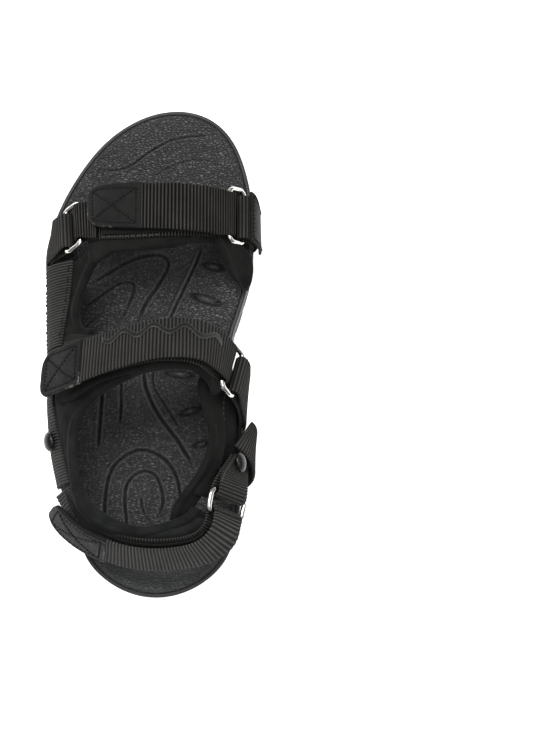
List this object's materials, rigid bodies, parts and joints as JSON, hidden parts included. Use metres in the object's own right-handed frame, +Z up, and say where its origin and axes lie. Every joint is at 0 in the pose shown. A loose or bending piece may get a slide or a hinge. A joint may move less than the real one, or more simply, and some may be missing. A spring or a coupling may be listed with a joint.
{
  "type": "sport sandal",
  "caption": "Left-foot strappy sport sandal with a moulded footbed, ribbed webbing straps through metal rings, and hook-and-loop flaps over forefoot, instep and heel.",
  "frame": {"origin": "on the ground under the middle of the sandal's bounding box", "axes": "+Y from heel to toe, +X towards the inner (medial) side of the foot, +Z up"},
  "size_m": [0.0918, 0.208, 0.0848],
  "materials": {
    "outsole_rubber": "matte black rubber with chevron tread",
    "midsole_foam": "matte charcoal foam, smooth skin",
    "footbed_foam": "charcoal moulded foam with a fine leather-like grain",
    "woven_webbing": "ribbed black webbing, ribs across the strap",
    "synthetic_leather": "smooth black synthetic leather, matte",
    "lining_fabric": "soft black brushed lining over foam",
    "hook_and_loop": "black hook-and-loop tape",
    "polished_steel": "bright polished metal wire",
    "black_rivet": "black domed rivet, semi-gloss",
    "badge_rubber": "slightly glossy raised print"
  },
  "bodies": {
    "sandal": {"footbed": "footbed_foam", "forefoot_base_webbing": "woven_webbing", "forefoot_lateral_anchor": "woven_webbing", "forefoot_lateral_lining": "lining_fabric", "forefoot_lateral_ring": "polished_steel", "forefoot_lining": "lining_fabric", "forefoot_loop_patch": "hook_and_loop", "forefoot_medial_anchor": "woven_webbing", "forefoot_medial_lining": "lining_fabric", "forefoot_medial_overlay": "synthetic_leather", "forefoot_medial_ring": "polished_steel", "heel_base_webbing": "woven_webbing", "heel_loop_patch": "hook_and_loop", "heel_pad": "lining_fabric", "heel_ring": "polished_steel", "heel_ring_anchor": "woven_webbing", "instep_base_webbing": "woven_webbing", "instep_lateral_anchor": "woven_webbing", "instep_lining": "lining_fabric", "instep_loop_patch": "hook_and_loop", "instep_medial_anchor": "woven_webbing", "instep_ring": "polished_steel", "lateral_down_webbing": "woven_webbing", "lateral_lining": "lining_fabric", "lateral_rear_webbing": "woven_webbing", "lateral_rivet": "black_rivet", "lateral_side_webbing": "woven_webbing", "medial_down_webbing": "woven_webbing", "medial_lining": "lining_fabric", "medial_rivet": "black_rivet", "midsole": "midsole_foam", "outsole": "outsole_rubber"},
    "forefoot_flap": {"forefoot_closure_tab": "synthetic_leather", "forefoot_closure_webbing": "woven_webbing", "forefoot_hook_patch": "hook_and_loop"},
    "instep_flap": {"instep_badge": "badge_rubber", "instep_closure_tab": "synthetic_leather", "instep_closure_webbing": "woven_webbing", "instep_hook_patch": "hook_and_loop"},
    "heel_flap": {"heel_closure_tab": "synthetic_leather", "heel_closure_webbing": "woven_webbing", "heel_hook_patch": "hook_and_loop"}
  },
  "joints": [
    {"name": "forefoot_flap_hinge", "type": "hinge", "parent": "sandal", "child": "forefoot_flap", "pos_m": [0.03511, 0.05443, 0.04569], "axis": [0, 0.9998, 0.02], "range_deg": [0, 150]},
    {"name": "instep_flap_hinge", "type": "hinge", "parent": "sandal", "child": "instep_flap", "pos_m": [0.03497, -0.01144, 0.06228], "axis": [0.199, 0.8557, -0.4776], "range_deg": [0, 150]},
    {"name": "heel_flap_hinge", "type": "hinge", "parent": "sandal", "child": "heel_flap", "pos_m": [0.03399, -0.07371, 0.0567], "axis": [-0.5729, 0.1307, 0.8091], "range_deg": [0, 150]}
  ]
}
